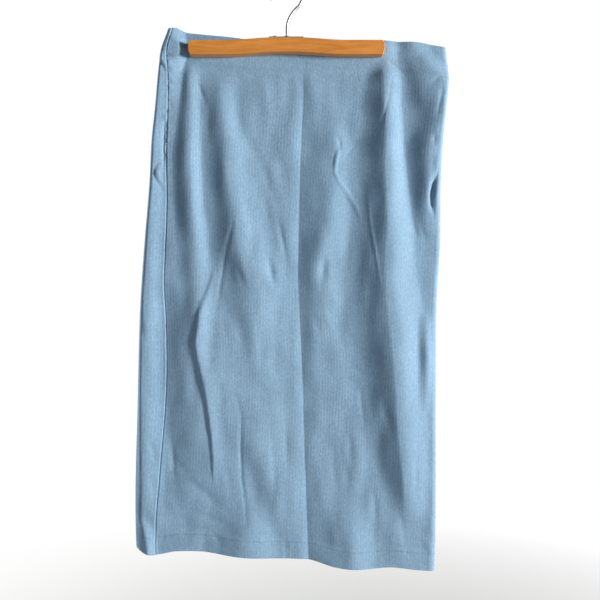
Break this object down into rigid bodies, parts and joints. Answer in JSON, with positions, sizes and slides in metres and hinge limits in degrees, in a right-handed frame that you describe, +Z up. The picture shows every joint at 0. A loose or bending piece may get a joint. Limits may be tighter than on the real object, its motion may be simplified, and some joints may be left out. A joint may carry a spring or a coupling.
{
  "type": "ribbed knit skirt on a clamp hanger",
  "caption": "Straight ribbed knit midi skirt with an elastic waist casing, hung flat by its waist in a wooden clamp hanger with a wire hook.",
  "frame": {"origin": "inner top of the hanger's hook, where a rail or peg carries it", "axes": "+Z up, -Y out of the skirt's front, +X to the viewer's right when seen from the front"},
  "size_m": [0.4172, 0.0375, 0.7918],
  "materials": {
    "knit": "matt fine rib knit, light blue",
    "wood": "lacquered warm brown wood",
    "steel": "bright steel wire and plate"
  },
  "bodies": {
    "root": {"skirt_front": "knit", "skirt_back": "knit", "jaw_front": "wood", "jaw_back": "wood", "clamp_plate": "steel", "screw_front": "steel", "screw_back": "steel", "collar": "steel", "hook": "steel"}
  },
  "joints": []
}
